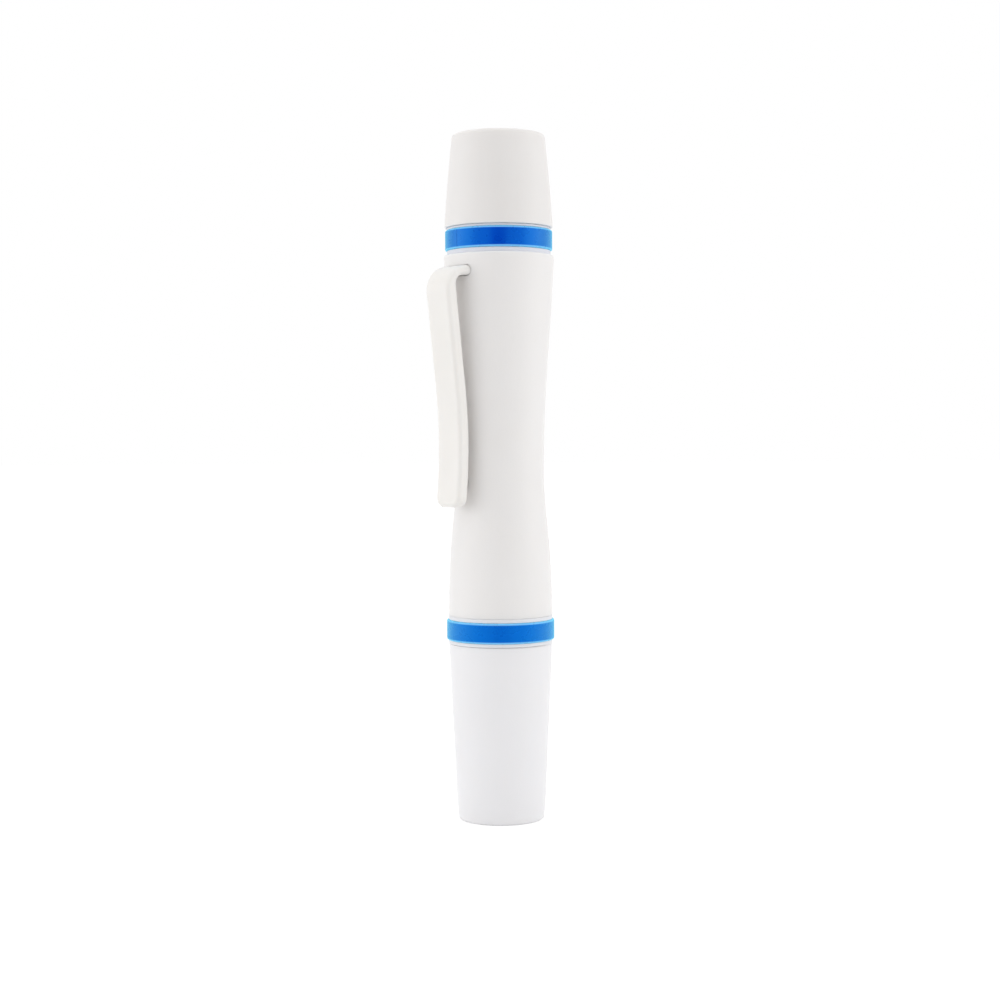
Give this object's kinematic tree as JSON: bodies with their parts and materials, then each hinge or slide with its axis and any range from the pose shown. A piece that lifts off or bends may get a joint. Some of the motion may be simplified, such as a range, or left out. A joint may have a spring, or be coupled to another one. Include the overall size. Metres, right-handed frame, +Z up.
{
  "type": "lens cleaning pen",
  "caption": "Compact two-cap lens cleaning pen: waisted barrel with pocket clip, soft brush under the long cap, dished carbon cleaning tip under the short cap.",
  "frame": {"origin": "centre of the brush cap's flat end, the face that the pen stands on", "axes": "+Z up the pen's axis from the brush cap to the tip cap; -Y is the front; the pocket clip stands 50 degrees round from the front towards -X"},
  "size_m": [0.0193, 0.0181, 0.105],
  "materials": {
    "shell_white": "smooth moulded white plastic, satin",
    "clip_white": "smooth moulded warm white plastic, satin",
    "collar_grey": "smooth moulded cool white plastic, satin",
    "ring_blue": "glossy moulded blue plastic",
    "stem_black": "satin black plastic",
    "tip_rubber": "soft matt black elastomer",
    "chamois_black": "fine suede loaded with carbon",
    "sponge_carbon": "open-cell foam loaded with carbon powder",
    "ferrule_metal": "bright drawn aluminium",
    "plug_resin": "amber casting resin",
    "bristle_hair": "soft natural hair, tapered strands"
  },
  "bodies": {
    "brush_cap": {"brush_cap": "shell_white"},
    "brush_ring": {"brush_ring": "ring_blue"},
    "barrel": {"barrel": "shell_white", "tip_collar": "collar_grey", "tip_stem": "stem_black", "tip_head": "tip_rubber", "tip_chamois": "chamois_black", "brush_collar": "collar_grey", "brush_ferrule": "ferrule_metal", "bristle_plug": "plug_resin", "bristles": "bristle_hair"},
    "clip": {"clip": "clip_white"},
    "tip_ring": {"tip_ring": "ring_blue"},
    "tip_cap": {"tip_cap": "shell_white", "carbon_cup": "stem_black", "carbon_sponge": "sponge_carbon"}
  },
  "joints": [
    {"name": "brush_cap_pull", "type": "slide", "parent": "brush_cap", "child": "brush_ring", "axis": [0, 0, 1], "range_m": [0, 0.026]},
    {"name": "brush_cap_twist", "type": "hinge", "parent": "brush_ring", "child": "barrel", "pos_m": [0, 0, 0.02934], "axis": [0, 0, 1], "continuous": true},
    {"name": "clip_flex", "type": "hinge", "parent": "barrel", "child": "clip", "pos_m": [-0.00567, -0.00476, 0.0839], "axis": [-0.6428, 0.766, 0], "range_deg": [0, 5], "stiffness_Nm_per_rad": 0.45},
    {"name": "tip_cap_twist", "type": "hinge", "parent": "barrel", "child": "tip_ring", "pos_m": [0, 0, 0.08885], "axis": [0, 0, 1], "continuous": true},
    {"name": "tip_cap_pull", "type": "slide", "parent": "tip_ring", "child": "tip_cap", "axis": [0, 0, 1], "range_m": [0, 0.014]}
  ]
}
